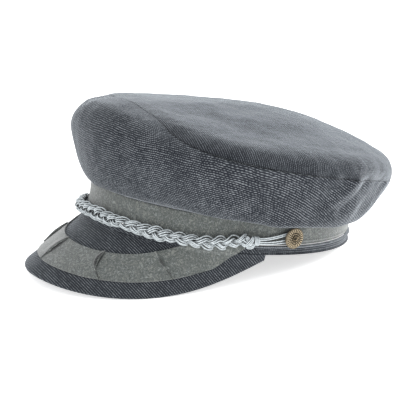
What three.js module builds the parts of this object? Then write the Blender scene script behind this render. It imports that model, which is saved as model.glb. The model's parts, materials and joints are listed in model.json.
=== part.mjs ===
// Fisherman's cap: a full crown of ribbed denim on a grey wool band, with a denim edge strip,
// a stiff denim peak with a tucked grey trim, and a plaited cord held by two brass buttons.
// Millimetres, +Z up, peak towards -Y, wearer's left towards +X.
import * as THREE from 'three';

// Band and edge strip. Turns are in degrees round the cap, 0 at the front and 180 at the back.
const headLength = 206;
const headWidth = 164;
const bandFrontTop = 27;
const bandRearTop = 21.6;
const bandWall = 2.5;
const edgeHeight = 7;
const edgeWall = 3;
const edgeProud = 0.6;
const seamGap = 0.3;

// Crown.
const crownWall = 2;
const crownReach = 25;
const crownRise = 68;
const crownSetBack = 14;
const foldHeight = 2;
const foldWidth = 10;

// Peak and its trim.
const peakFrontWidth = 58.5;
const peakCornerWidth = 4.4;
const peakFrontSlope = 38.5;
const peakCornerSlope = 94;
const peakSlopeGain = 1.4;
const peakCornerTurn = 86.5;
const peakTaper = 1.5;
const peakWall = 2.2;
const trimSetBack = 22;
const trimInnerTurn = 54;
const trimOuterTurn = 77;
const trimFrontRim = 12.8;
const trimSideRim = 11.5;
const trimWall = 1.2;
const tuckHeight = 1.8;
const tuckLength = 9;

// Plaited cord.
const strandWidth = 2.7;
const plaitSway = 3.4;
const plaitLift = 2;
const plaitPitch = 31;
const plaitHeight = 9.5;
const plaitSlack = 2;
const plaitEndTurn = 74;
const knotLength = 8;
const knotHeight = 9.4;
const knotDepth = 7.4;
const leadWidth = 1.1;
const leadCount = 4;

// Buttons.
const buttonWidth = 15.5;
const buttonDepth = 2.6;
const buttonStandOff = 3.6;
const shankWidth = 3.6;
const buttonTurn = 97.8;
const buttonHeight = 12.5;

// Fineness of the solids.
const roundColumns = 44;
const sideRows = 11;
const topRows = 9;
const peakColumns = 34;
const peakRows = 5;
const stepsPerPitch = 10;

// Sections of the crown. Each runs from the band over a belly, the widest point and a crest to the
// middle of the top. Each place is given as [out, up], shares of crownReach and crownRise; seamAt is
// the station of the seam between side and top, counted 0 at the band, 1 belly, 2 widest, 3 crest,
// 4 shoulder, 5 middle.
const crownSections = [
  { turn: 0, belly: [0.30, 0.04], wide: [0.70, 0.66], crest: [0.24, 0.86], seamAt: 3.40 },
  { turn: 30, belly: [0.28, 0.06], wide: [0.84, 0.57], crest: [0.36, 0.80], seamAt: 3.28 },
  { turn: 60, belly: [0.40, 0.04], wide: [0.88, 0.49], crest: [0.62, 0.72], seamAt: 2.76 },
  { turn: 90, belly: [0.54, 0.01], wide: [0.87, 0.47], crest: [0.78, 0.70], seamAt: 2.50 },
  { turn: 120, belly: [0.58, 0.01], wide: [0.89, 0.44], crest: [0.84, 0.68], seamAt: 2.32 },
  { turn: 150, belly: [0.47, 0.08], wide: [1.01, 0.40], crest: [0.84, 0.63], seamAt: 2.12 },
  { turn: 180, belly: [0.46, 0.12], wide: [1.12, 0.39], crest: [0.73, 0.64], seamAt: 2.10 },
];
const middleStation = 5;
const shoulderRise = 0.72; // share of the rise from crest to middle that is done half-way in

// Folds of the crown cloth, each along a line between two places given as turn and station.
// "High" is a share of foldHeight and "wide" of foldWidth; a negative height is a hollow.
const crownFolds = [
  { fromTurn: 118, fromAt: 2.4, toTurn: 107, toAt: 1.3, high: 0.8, wide: 0.7 },
  { fromTurn: 130, fromAt: 2.3, toTurn: 121, toAt: 1.4, high: -0.8, wide: 1.0 },
  { fromTurn: 26, fromAt: 3.2, toTurn: 32, toAt: 1.8, high: 0.7, wide: 0.8 },
  { fromTurn: 40, fromAt: 2.9, toTurn: 42, toAt: 1.8, high: -0.6, wide: 1.2 },
  { fromTurn: -34, fromAt: 3.1, toTurn: -38, toAt: 1.6, high: 0.7, wide: 0.9 },
  { fromTurn: -112, fromAt: 2.5, toTurn: -120, toAt: 1.2, high: -0.8, wide: 1.1 },
  { fromTurn: 172, fromAt: 2.2, toTurn: 160, toAt: 1.1, high: 0.7, wide: 0.9 },
  { fromTurn: 70, fromAt: 3.6, toTurn: 140, toAt: 3.5, high: -0.6, wide: 1.6 },
];

// Tucks of the trim: each lifts the cloth on one side of its turn, and falls sharply on the other.
const tucks = [
  { turn: -44, lean: 1, high: 0.7 },
  { turn: -21, lean: 1, high: 1.0 },
  { turn: -1, lean: -1, high: 0.9 },
  { turn: 21, lean: -1, high: 1.0 },
  { turn: 44, lean: -1, high: 0.7 },
];

// The plait's route round the front of the cap: it sags between its ends and lies lower on the
// wearer's right. "High" is a share of plaitHeight and "loose", away from the band, of plaitSlack.
const plaitRoute = [
  { turn: -80, high: 1.02, loose: 0 },
  { turn: -60, high: 0.60, loose: 0.3 },
  { turn: -40, high: 0.20, loose: 0.9 },
  { turn: -20, high: 0.50, loose: 0.9 },
  { turn: 0, high: 0.90, loose: 0.4 },
  { turn: 20, high: 0.98, loose: 0.1 },
  { turn: 40, high: 0.86, loose: 0 },
  { turn: 60, high: 0.84, loose: 0 },
  { turn: 80, high: 1.08, loose: 0 },
];

const colours = {
  denim: 0x59626f, denimDark: 0x464e5a, wool: 0x747875, cord: 0xa9b3b8, brass: 0x7d6a45,
};

function clothMaterial(name, color) {
  return new THREE.MeshStandardMaterial({ name, color, roughness: 0.95, metalness: 0 });
}

const materials = {
  denim: clothMaterial('denim', colours.denim),
  denimDark: clothMaterial('denim_dark', colours.denimDark),
  wool: clothMaterial('grey_wool', colours.wool),
  cord: clothMaterial('silver_cord', colours.cord),
  brass: new THREE.MeshStandardMaterial({
    name: 'antique_brass', color: colours.brass, roughness: 0.45, metalness: 0.9,
  }),
};

const radians = THREE.MathUtils.degToRad;
const lerp = THREE.MathUtils.lerp;
const clamp = THREE.MathUtils.clamp;

// A point on the band's outer face, moved outwards by `out`, at height z.
function bandPoint(turn, out, z) {
  const angle = radians(turn);
  const across = (headWidth / 2 + out) * Math.sin(angle);
  const back = -(headLength / 2 + out) * Math.cos(angle);
  return new THREE.Vector3(across, back, z);
}

// The level direction square to the band's outer face.
function bandNormal(turn) {
  const angle = radians(turn);
  return new THREE.Vector3(Math.sin(angle) / headWidth, -Math.cos(angle) / headLength, 0).normalize();
}

// The top of the band is higher at the front than at the back.
function bandTop(turn) {
  const share = (1 + Math.cos(radians(turn))) / 2;
  return lerp(bandRearTop, bandFrontTop, share);
}

// A closed solid between an outer and an inner surface, each a function of two shares from 0 to 1.
// A round one closes on itself along its columns, and a pole closes its last row to one point.
function layeredSolid({ rows, columns, outer, inner, round = false, pole = false }) {
  const positions = [];
  const indices = [];
  const columnCount = round ? columns : columns + 1;
  const rowCount = pole ? rows : rows + 1;
  const layers = [outer, inner].map((surface) => {
    const start = positions.length / 3;
    for (let row = 0; row < rowCount; row += 1) {
      for (let column = 0; column < columnCount; column += 1) {
        positions.push(...surface(row / rows, column / columns).toArray());
      }
    }
    if (pole) positions.push(...surface(1, 0).toArray());
    return start;
  });
  const at = (layer, row, column) => {
    if (pole && row === rows) return layers[layer] + rowCount * columnCount;
    return layers[layer] + row * columnCount + (column % columnCount);
  };
  const quad = (a, b, c, d) => {
    if (a !== b) indices.push(a, b, c);
    if (c !== d) indices.push(a, c, d);
  };
  for (let row = 0; row < rows; row += 1) {
    for (let column = 0; column < columns; column += 1) {
      const next = column + 1;
      quad(at(0, row, column), at(0, row, next), at(0, row + 1, next), at(0, row + 1, column));
      quad(at(1, row, next), at(1, row, column), at(1, row + 1, column), at(1, row + 1, next));
    }
  }
  for (let column = 0; column < columns; column += 1) {
    const next = column + 1;
    quad(at(1, 0, column), at(1, 0, next), at(0, 0, next), at(0, 0, column));
    if (!pole) quad(at(0, rows, column), at(0, rows, next), at(1, rows, next), at(1, rows, column));
  }
  if (!round) {
    for (let row = 0; row < rows; row += 1) {
      quad(at(0, row, 0), at(0, row + 1, 0), at(1, row + 1, 0), at(1, row, 0));
      quad(at(1, row, columns), at(1, row + 1, columns), at(0, row + 1, columns), at(0, row, columns));
    }
  }
  return closedGeometry(positions, indices);
}

// Builds the geometry and turns its faces outwards.
function closedGeometry(positions, indices) {
  const [a, b, c] = [new THREE.Vector3(), new THREE.Vector3(), new THREE.Vector3()];
  let sixVolumes = 0;
  for (let i = 0; i < indices.length; i += 3) {
    a.fromArray(positions, 3 * indices[i]);
    b.fromArray(positions, 3 * indices[i + 1]);
    c.fromArray(positions, 3 * indices[i + 2]);
    sixVolumes += a.dot(b.cross(c));
  }
  if (sixVolumes < 0) indices.reverse();
  const geometry = new THREE.BufferGeometry();
  geometry.setAttribute('position', new THREE.Float32BufferAttribute(positions, 3));
  geometry.setIndex(indices);
  geometry.computeVertexNormals();
  return geometry;
}

// One value of the crown table at any turn, the same on both sides of the cap.
function crownValue(read, turn) {
  const values = crownSections.map(read);
  const spacing = crownSections[1].turn;
  const last = values.length - 1;
  const folded = Math.abs(THREE.MathUtils.euclideanModulo(turn + 180, 360) - 180) / spacing;
  const index = clamp(Math.floor(folded), 0, last - 1);
  const share = folded - index;
  const value = (i) => values[i < 0 ? -i : last - Math.abs(last - i)];
  const [before, start, end, after] = [-1, 0, 1, 2].map((step) => value(index + step));
  const startSlope = (end - before) / 2;
  const endSlope = (after - start) / 2;
  return start + share * (startSlope + share * (3 * (end - start) - 2 * startSlope - endSlope
    + share * (2 * (start - end) + startSlope + endSlope)));
}

function seamStation(turn) {
  return crownValue((section) => section.seamAt, turn);
}

// The crown's section at a turn, from the band to the middle of the top.
function crownCurve(turn) {
  const hem = bandTop(turn) + seamGap;
  const station = (name) => {
    const [out, up] = [0, 1].map((part) => crownValue((section) => section[name][part], turn));
    return bandPoint(turn, crownReach * out, hem + crownRise * up);
  };
  const crest = station('crest');
  const middle = new THREE.Vector3(0, crownSetBack, (bandFrontTop + bandRearTop) / 2 + crownRise);
  const shoulder = crest.clone().lerp(middle, 0.5);
  shoulder.z = lerp(crest.z, middle.z, shoulderRise);
  const stations = [bandPoint(turn, 0, hem), station('belly'), station('wide'), crest, shoulder, middle];
  return new THREE.CatmullRomCurve3(stations, false, 'centripetal');
}

const curveCache = new Map();

function smoothCrownPoint(turn, station) {
  const key = turn.toFixed(3);
  if (!curveCache.has(key)) curveCache.set(key, crownCurve(turn));
  return curveCache.get(key).getPoint(station / middleStation);
}

function crownNormal(turn, station) {
  if (station > middleStation - 0.01) return new THREE.Vector3(0, 0, 1);
  const step = 0.02;
  const low = Math.max(station - step, 0);
  const around = smoothCrownPoint(turn + 1, station).sub(smoothCrownPoint(turn - 1, station));
  const upward = smoothCrownPoint(turn, station + step).sub(smoothCrownPoint(turn, low));
  return around.cross(upward).normalize();
}

const foldLines = crownFolds.map((fold) => ({
  line: new THREE.Line3(
    smoothCrownPoint(fold.fromTurn, fold.fromAt), smoothCrownPoint(fold.toTurn, fold.toAt),
  ),
  high: fold.high * foldHeight,
  wide: fold.wide * foldWidth,
}));

function foldLift(point) {
  const nearest = new THREE.Vector3();
  return foldLines.reduce((sum, { line, high, wide }) => {
    line.closestPointToPoint(point, true, nearest);
    return sum + high * Math.exp(-((nearest.distanceTo(point) / wide) ** 2));
  }, 0);
}

// A point on the crown's outer face, or `depth` inside it.
function crownPoint(turn, station, depth) {
  const point = smoothCrownPoint(turn, station);
  const clearOfHem = Math.min(station, 1);
  return point.addScaledVector(crownNormal(turn, station), foldLift(point) * clearOfHem - depth);
}

// Half the seam's gap, as a length of station at a turn.
function halfSeam(turn) {
  const at = seamStation(turn);
  const step = 0.1;
  const stretch = smoothCrownPoint(turn, at + step).distanceTo(smoothCrownPoint(turn, at - step));
  return ((seamGap / 2) * 2 * step) / stretch;
}

function crownSide() {
  const surface = (depth) => (up, around) => {
    const turn = around * 360;
    return crownPoint(turn, up * (seamStation(turn) - halfSeam(turn)), depth);
  };
  return layeredSolid({
    rows: sideRows, columns: roundColumns, outer: surface(0), inner: surface(crownWall), round: true,
  });
}

function crownTop() {
  const surface = (depth) => (inward, around) => {
    const turn = around * 360;
    const start = seamStation(turn) + halfSeam(turn);
    return crownPoint(turn, lerp(start, middleStation, inward), depth);
  };
  return layeredSolid({
    rows: topRows,
    columns: roundColumns,
    outer: surface(0),
    inner: surface(crownWall),
    round: true,
    pole: true,
  });
}

// The grey band, standing on the edge strip.
function band() {
  const surface = (out) => (up, around) => {
    const turn = around * 360;
    return bandPoint(turn, out, lerp(edgeHeight + seamGap, bandTop(turn), up));
  };
  return layeredSolid({
    rows: 2, columns: roundColumns, outer: surface(0), inner: surface(-bandWall), round: true,
  });
}

function edgeStrip() {
  const surface = (out) => (up, around) => bandPoint(around * 360, out, up * edgeHeight);
  return layeredSolid({
    rows: 1,
    columns: roundColumns,
    outer: surface(edgeProud),
    inner: surface(edgeProud - edgeWall),
    round: true,
  });
}

function peakWidth(turn) {
  const share = Math.min(Math.abs(turn) / peakCornerTurn, 1);
  return peakCornerWidth + (peakFrontWidth - peakCornerWidth) * (1 - share ** peakTaper);
}

// The peak's upper face: down and outwards from the band, steeper towards its corners.
function peakPoint(turn, distance, lift) {
  const share = Math.abs(turn) / peakCornerTurn;
  const slope = radians(lerp(peakFrontSlope, peakCornerSlope, share ** peakSlopeGain));
  const out = bandNormal(turn);
  const point = bandPoint(turn, 0, -seamGap);
  point.addScaledVector(out, distance * Math.cos(slope) + lift * Math.sin(slope));
  point.z += lift * Math.cos(slope) - distance * Math.sin(slope);
  return point;
}

function peak() {
  const surface = (lift) => (across, along) => {
    const turn = lerp(-peakCornerTurn, peakCornerTurn, along);
    return peakPoint(turn, across * peakWidth(turn), lift);
  };
  return layeredSolid({ rows: peakRows, columns: peakColumns, outer: surface(0), inner: surface(-peakWall) });
}

// The inner and outer edges of the trim, as distances from the band.
function trimEdges(turn) {
  const share = Math.abs(turn) / trimOuterTurn;
  const outer = peakWidth(turn) - lerp(trimFrontRim, trimSideRim, share);
  const inner = trimSetBack * (1 - (turn / trimInnerTurn) ** 2);
  return { inner: clamp(inner, trimWall, outer - trimWall), outer };
}

// How far the tucks lift the trim: most at its inner edge, and nothing at its outer one.
function tuckLift(turn, across) {
  return tucks.reduce((lift, tuck) => {
    const distance = (turn - tuck.turn) * tuck.lean * ((Math.PI * headWidth) / 360);
    if (distance < 0 || distance > tuckLength) return lift;
    return lift + tuck.high * tuckHeight * (1 - distance / tuckLength) * (1 - across);
  }, 0);
}

// The trim's columns, with a pair close together at each tuck's sharp side.
function trimTurns() {
  const turns = [];
  for (let i = 0; i <= peakColumns; i += 1) {
    turns.push(lerp(-trimOuterTurn, trimOuterTurn, i / peakColumns));
  }
  for (const tuck of tucks) turns.push(tuck.turn - tuck.lean * 0.4, tuck.turn + tuck.lean * 0.01);
  return turns.sort((a, b) => a - b);
}

function peakTrim() {
  const turns = trimTurns();
  const surface = (thickness) => (across, along) => {
    const turn = turns[Math.round(along * (turns.length - 1))];
    const edges = trimEdges(turn);
    const lift = seamGap + thickness + (thickness > 0 ? tuckLift(turn, across) : 0);
    return peakPoint(turn, lerp(edges.inner, edges.outer, across), lift);
  };
  return layeredSolid({ rows: 3, columns: turns.length - 1, outer: surface(trimWall), inner: surface(0) });
}

// The distance of the cord's middle line from the band where it lies close to it.
const plaitOut = edgeProud + seamGap + plaitLift + strandWidth / 2;

// The plait's height or slack at a turn, read smoothly from its route.
function routeValue(key, turn) {
  const spacing = plaitRoute[1].turn - plaitRoute[0].turn;
  const along = clamp((turn - plaitRoute[0].turn) / spacing, 0, plaitRoute.length - 1.001);
  const index = Math.floor(along);
  const share = along - index;
  const eased = share * share * (3 - 2 * share);
  return lerp(plaitRoute[index][key], plaitRoute[index + 1][key], eased);
}

// A point on the cord's middle line, moved outwards by `out` and up by `up`.
function plaitPoint(turn, out = 0, up = 0) {
  const middle = plaitOut + plaitSlack * routeValue('loose', turn);
  return bandPoint(turn, middle + out, plaitHeight * routeValue('high', turn) + up);
}

// The length of the plait's middle line between two turns.
function plaitLength(fromTurn, toTurn) {
  const steps = 60;
  let length = 0;
  for (let i = 0; i < steps; i += 1) {
    const start = plaitPoint(lerp(fromTurn, toTurn, i / steps));
    length += start.distanceTo(plaitPoint(lerp(fromTurn, toTurn, (i + 1) / steps)));
  }
  return length;
}

// The turn that lies a length further along the cord than `turn`.
function turnAfter(turn, length) {
  return turn + length / plaitPoint(turn + 0.5).distanceTo(plaitPoint(turn - 0.5));
}

const plaitTurns = Math.round(plaitLength(-plaitEndTurn, plaitEndTurn) / plaitPitch);

function polygon(width, height, sides) {
  const shape = new THREE.Shape();
  for (let i = 0; i < sides; i += 1) {
    const angle = (2 * Math.PI * i) / sides;
    const [x, y] = [(width / 2) * Math.cos(angle), (height / 2) * Math.sin(angle)];
    if (i === 0) shape.moveTo(x, y);
    else shape.lineTo(x, y);
  }
  shape.closePath();
  return shape;
}

// One of the three strands: it sways up and down once, and in and out twice, in each pitch.
function plaitStrand(index) {
  const steps = plaitTurns * stepsPerPitch;
  const points = [];
  for (let i = 0; i <= steps; i += 1) {
    const turn = lerp(-plaitEndTurn, plaitEndTurn, i / steps);
    const phase = (2 * Math.PI * i) / stepsPerPitch + (2 * Math.PI * index) / 3;
    points.push(plaitPoint(turn, plaitLift * Math.sin(2 * phase), plaitSway * Math.sin(phase)));
  }
  const path = new THREE.CatmullRomCurve3(points);
  return new THREE.ExtrudeGeometry(polygon(strandWidth, strandWidth, 6), {
    steps, bevelEnabled: false, extrudePath: path,
  });
}

// The wrapped knot at each end of the plait, its axis along the cord.
const knotStart = turnAfter(plaitEndTurn, seamGap + strandWidth / 3);
const knotTurn = turnAfter(knotStart, knotLength / 2);
const leadStart = turnAfter(knotTurn, knotLength / 2 + seamGap);

function knot(side) {
  const wraps = 3;
  const grooveDepth = 0.1; // share of the knot's height
  const profile = [new THREE.Vector2(0, -knotLength / 2)];
  const steps = wraps * 4;
  for (let i = 0; i <= steps; i += 1) {
    const ridge = 1 - grooveDepth * (1 - Math.abs(Math.sin((Math.PI * wraps * i) / steps)));
    profile.push(new THREE.Vector2((ridge * knotHeight) / 2, knotLength * (i / steps - 0.5)));
  }
  profile.push(new THREE.Vector2(0, knotLength / 2));
  const geometry = new THREE.LatheGeometry(profile, 14);
  const out = bandNormal(side * knotTurn);
  const along = new THREE.Vector3(-out.y, out.x, 0);
  const up = new THREE.Vector3(0, 0, 1);
  const narrow = knotDepth / knotHeight;
  geometry.applyMatrix4(new THREE.Matrix4().makeBasis(up, along, out.clone().multiplyScalar(-narrow)));
  const centre = plaitPoint(side * knotTurn, (knotDepth - strandWidth) / 2 - plaitLift + seamGap);
  geometry.translate(...centre.toArray());
  return geometry;
}

// One of the thin cords that fan out from the knot to behind the button.
function lead(side, index) {
  const share = index / (leadCount - 1) - 0.5;
  const endTurn = buttonTurn - 1;
  const startSpread = (leadWidth + 0.1) * (leadCount - 1);
  const endSpread = shankWidth + 3 * leadWidth;
  const points = [];
  const steps = 6;
  for (let i = 0; i <= steps; i += 1) {
    const along = i / steps;
    const turn = side * lerp(leadStart, endTurn, along);
    const spread = share * lerp(startSpread, endSpread, along);
    const start = plaitPoint(side * leadStart);
    const out = lerp(plaitOut, edgeProud + leadWidth, Math.sqrt(along));
    points.push(bandPoint(turn, out, lerp(start.z, buttonHeight, along) + spread));
  }
  return new THREE.ExtrudeGeometry(polygon(leadWidth, leadWidth, 6), {
    steps, bevelEnabled: false, extrudePath: new THREE.CatmullRomCurve3(points),
  });
}

// A domed shank button whose axis is square to the band.
function button(side) {
  const radius = buttonWidth / 2;
  const rim = buttonDepth * 0.35;
  const profile = [
    [0, seamGap], [shankWidth / 2, seamGap], [shankWidth / 2, buttonStandOff],
    [radius * 0.9, buttonStandOff], [radius, buttonStandOff + rim / 2], [radius * 0.97, buttonStandOff + rim],
    [radius * 0.7, buttonStandOff + buttonDepth * 0.75], [radius * 0.35, buttonStandOff + buttonDepth * 0.95],
    [0, buttonStandOff + buttonDepth],
  ].map(([x, y]) => new THREE.Vector2(x, y));
  const geometry = new THREE.LatheGeometry(profile, 24);
  const out = bandNormal(side * buttonTurn);
  const along = new THREE.Vector3(-out.y, out.x, 0);
  const up = new THREE.Vector3(0, 0, 1);
  geometry.applyMatrix4(new THREE.Matrix4().makeBasis(along, out, up.negate()));
  geometry.translate(...bandPoint(side * buttonTurn, 0, buttonHeight).toArray());
  return geometry;
}

// The cap in its own frame, with the lower edge of the band level.
const cap = new THREE.Group();

function addPiece(name, geometry, material) {
  const mesh = new THREE.Mesh(geometry, material);
  mesh.name = name;
  cap.add(mesh);
  return mesh;
}

addPiece('crown_top', crownTop(), materials.denim);
addPiece('crown_side', crownSide(), materials.denim);
addPiece('band', band(), materials.wool);
addPiece('edge_strip', edgeStrip(), materials.denimDark);
const peakMesh = addPiece('peak', peak(), materials.denimDark);
addPiece('peak_trim', peakTrim(), materials.wool);
for (let index = 0; index < 3; index += 1) {
  addPiece(`plait_strand_${index + 1}`, plaitStrand(index), materials.cord);
}
for (const [place, side] of [['left', 1], ['right', -1]]) {
  addPiece(`plait_knot_${place}`, knot(side), materials.cord);
  for (let index = 0; index < leadCount; index += 1) {
    addPiece(`cord_lead_${place}_${index + 1}`, lead(side, index), materials.cord);
  }
  addPiece(`button_${place}`, button(side), materials.brass);
}

// At rest the cap leans back on the rear of its lower edge, with the peak's edge on the table.
function restTilt() {
  const heel = headLength / 2 + edgeProud;
  const corner = new THREE.Vector3();
  const place = peakMesh.geometry.getAttribute('position');
  let tilt = 0;
  for (let i = 0; i < place.count; i += 1) {
    corner.fromBufferAttribute(place, i);
    tilt = Math.max(tilt, Math.atan2(-corner.z, heel - corner.y));
  }
  return tilt;
}

cap.rotation.x = -restTilt();
const model = new THREE.Group();
model.add(cap);

// The origin is the middle of the whole cap's footprint, on the table.
model.updateMatrixWorld(true);
const box = new THREE.Box3().setFromObject(model, true);
const middle = box.getCenter(new THREE.Vector3());
cap.position.set(-middle.x, -middle.y, -box.min.z);

export default model;
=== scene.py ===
import json
import math
import bpy
import bmesh
import numpy as np
from mathutils import Matrix, Vector, noise

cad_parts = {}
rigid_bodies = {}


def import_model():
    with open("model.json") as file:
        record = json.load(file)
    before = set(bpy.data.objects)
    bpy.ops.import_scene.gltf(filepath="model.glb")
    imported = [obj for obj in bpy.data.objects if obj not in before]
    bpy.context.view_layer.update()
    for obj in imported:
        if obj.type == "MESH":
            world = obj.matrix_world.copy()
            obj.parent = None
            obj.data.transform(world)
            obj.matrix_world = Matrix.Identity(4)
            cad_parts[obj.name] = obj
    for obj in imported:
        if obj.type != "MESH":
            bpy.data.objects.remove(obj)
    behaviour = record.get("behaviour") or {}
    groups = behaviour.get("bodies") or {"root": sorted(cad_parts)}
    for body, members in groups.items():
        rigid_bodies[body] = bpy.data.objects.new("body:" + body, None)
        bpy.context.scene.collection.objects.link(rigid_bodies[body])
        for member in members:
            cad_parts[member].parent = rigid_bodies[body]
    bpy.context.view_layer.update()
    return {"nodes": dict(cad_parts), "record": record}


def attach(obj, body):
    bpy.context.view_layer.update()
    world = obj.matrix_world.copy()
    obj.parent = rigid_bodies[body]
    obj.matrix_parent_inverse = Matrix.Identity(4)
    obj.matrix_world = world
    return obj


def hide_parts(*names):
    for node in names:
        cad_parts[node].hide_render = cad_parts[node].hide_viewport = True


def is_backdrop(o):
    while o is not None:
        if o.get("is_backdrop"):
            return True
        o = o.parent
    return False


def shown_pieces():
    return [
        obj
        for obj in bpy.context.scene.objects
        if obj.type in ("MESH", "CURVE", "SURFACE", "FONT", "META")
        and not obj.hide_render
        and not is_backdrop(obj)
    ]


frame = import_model()
mm = 0.001

# Places are given in the cap's own frame, in millimetres, with its band level: turns are degrees
# round the band, 0 at the front and 90 on the wearer's left. rowFromCap leans it back as it rests.
restMount = frame["record"]["mounts"][0]
heelPoint = Vector((0, 102.1, 0)) * mm
leanBack = Matrix.Rotation(math.asin(restMount["axis"][1]), 4, "X")
rowFromCap = Matrix.Translation(Vector(restMount["pos_m"]) - leanBack @ heelPoint) @ leanBack
capFromRow = rowFromCap.inverted()


def toRow(places):
    turned = np.array(rowFromCap)
    return np.asarray(places) * mm @ turned[:3, :3].T + turned[:3, 3]


def toCap(places):
    turned = np.array(capFromRow)
    return (np.asarray(places) @ turned[:3, :3].T + turned[:3, 3]) / mm


def lerp(start, end, share):
    return start + (end - start) * share


def bump(distance, width):
    return np.exp(-((distance / width) ** 2))


def roughness(places, size, seed=0.0):
    flat = np.reshape(places, (-1, 3)) / size
    values = [noise.noise(Vector((x + seed, y - seed, z + 2 * seed))) for x, y, z in flat]
    return np.reshape(values, np.shape(places)[:-1])


def deselectAll():
    for obj in bpy.context.view_layer.objects:
        obj.select_set(False)


def pick(obj):
    deselectAll()
    obj.select_set(True)
    bpy.context.view_layer.objects.active = obj


def nameIt(obj, name):
    obj.name = name
    obj.data.name = name
    return obj


def applyModifier(obj, kind, **settings):
    pick(obj)
    modifier = obj.modifiers.new(kind.title(), kind)
    for key, value in settings.items():
        setattr(modifier, key, value)
    bpy.ops.object.modifier_apply(modifier=modifier.name)


def applyPlace(obj):
    pick(obj)
    bpy.ops.object.transform_apply(location=True, rotation=True, scale=True)


def newObject(name, data):
    obj = bpy.data.objects.new(name, data)
    bpy.context.scene.collection.objects.link(obj)
    return obj


def newShape(operator, **settings):
    deselectAll()
    operator(**settings)
    obj = bpy.context.active_object
    applyPlace(obj)
    return obj


# Runs one edit mode operator on a whole mesh.
def onWhole(obj, operator, **settings):
    pick(obj)
    bpy.ops.object.mode_set(mode="EDIT")
    bpy.ops.mesh.select_all(action="SELECT")
    operator(**settings)
    bpy.ops.object.mode_set(mode="OBJECT")


def mergeDoubles(obj):
    onWhole(obj, bpy.ops.mesh.remove_doubles, threshold=0.01 * mm)


def faceOutwards(obj, centre):
    middle = Vector(toRow(centre))
    lean = sum(face.area * face.normal.dot(face.center - middle) for face in obj.data.polygons)
    if lean < 0:
        onWhole(obj, bpy.ops.mesh.flip_normals)


def giveWall(obj, wall):
    applyModifier(obj, "SOLIDIFY", thickness=wall * mm, offset=-1)


def markPoints(obj, name, values):
    obj.data.attributes.new(name, "FLOAT", "POINT").data.foreach_set("value", values)


def joinAll(pieces, name):
    deselectAll()
    for piece in pieces:
        piece.select_set(True)
    bpy.context.view_layer.objects.active = pieces[0]
    bpy.ops.object.join()
    return nameIt(pieces[0], name)


def finishPiece(obj, material, node, angle=60):
    pick(obj)
    bpy.ops.object.shade_smooth_by_angle(angle=math.radians(angle))
    obj.data.materials.clear()
    obj.data.materials.append(material)
    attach(obj, "root")
    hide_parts(node)


# A grid primitive laid over rows and columns of places, with its UV map in metres of cloth.
def clothGrid(name, places, cloth, centre=(0, 0, 40), marks=None):
    rows, columns = places.shape[0] - 1, places.shape[1] - 1
    grid = newShape(bpy.ops.mesh.primitive_grid_add, x_subdivisions=columns, y_subdivisions=rows, size=1)
    obj = nameIt(grid, name)
    mesh = obj.data
    start = np.array([vertex.co for vertex in mesh.vertices])
    column = np.rint((start[:, 0] + 0.5) * columns).astype(int)
    row = np.rint((start[:, 1] + 0.5) * rows).astype(int)
    mesh.vertices.foreach_set("co", toRow(places[row, column]).astype(np.float32).ravel())
    corner = np.empty(len(mesh.loops), int)
    mesh.loops.foreach_get("vertex_index", corner)
    mesh.uv_layers[0].name = "cloth"
    spread = (cloth[row, column][corner] * mm).astype(np.float32)
    mesh.uv_layers[0].data.foreach_set("uv", spread.ravel())
    if marks:
        markPoints(obj, marks[0], marks[1][row, column].astype(np.float32))
    mesh.update()
    mergeDoubles(obj)
    faceOutwards(obj, centre)
    return obj


sharpEdge = math.radians(50)


# The outer face of a round CAD node as rings of places, from its lower edge to its upper one.
def outerRings(node, centre):
    obj = newObject(node + "Copy", frame["nodes"][node].data.copy())
    mergeDoubles(obj)
    mesh = bmesh.new()
    mesh.from_mesh(obj.data)
    bpy.data.objects.remove(obj)
    left, faces = set(mesh.faces), []
    while left:
        queue = [left.pop()]
        group = set(queue)
        while queue:
            for edge in queue.pop().edges:
                if edge.calc_face_angle(0) > sharpEdge:
                    continue
                for face in edge.link_faces:
                    if face in left:
                        left.discard(face)
                        group.add(face)
                        queue.append(face)
        faces.append(group)
    outer = max(faces, key=lambda group: sum(face.calc_area() for face in group))
    places = {vertex: toCap(vertex.co) for face in outer for vertex in face.verts}
    rim = [vertex for vertex in places if any(face not in outer for face in vertex.link_faces)]
    middleHeight = np.mean([places[vertex][2] for vertex in rim])
    ring = rim if node == "crown_top" else [v for v in rim if places[v][2] < middleHeight]
    rings, seen = [], set()
    while ring:
        seen.update(ring)
        rings.append(ring)
        ring = list({other for vertex in ring for edge in vertex.link_edges for other in edge.verts
                     if other in places and other not in seen
                     and any(face in outer for face in edge.link_faces)})
    grid = []
    for ring in rings:
        around = np.array([places[vertex] for vertex in ring])
        if len(around) == 1:
            grid.append(np.repeat(around, len(grid[0]), axis=0))
            continue
        angle = np.arctan2(around[:, 0] - centre[0], centre[1] - around[:, 1])
        grid.append(around[np.argsort((angle + 0.03) % (2 * math.pi))])
    mesh.free()
    return np.array(grid)


# A cubic curve through a grid's rows, read in `fine` steps from the second row to the last but one.
def cubicRead(grid, fine):
    steps = len(grid) - 3
    at = steps * np.arange(fine + 1) / fine
    index = np.minimum(at.astype(int), steps - 1)
    t = (at - index)[:, None, None]
    a, b, c, d = (grid[index + k] for k in range(4))
    return b + 0.5 * t * (c - a + t * (2 * a - 5 * b + 4 * c - d + t * (3 * (b - c) + d - a)))


def smoothRings(grid, rows, columns):
    before, after = 2 * grid[:1] - grid[1:2], 2 * grid[-1:] - grid[-2:-1]
    grid = cubicRead(np.concatenate([before, grid, after]), rows).swapaxes(0, 1)
    return cubicRead(np.concatenate([grid[-1:], grid, grid[:2]]), columns).swapaxes(0, 1)


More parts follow.
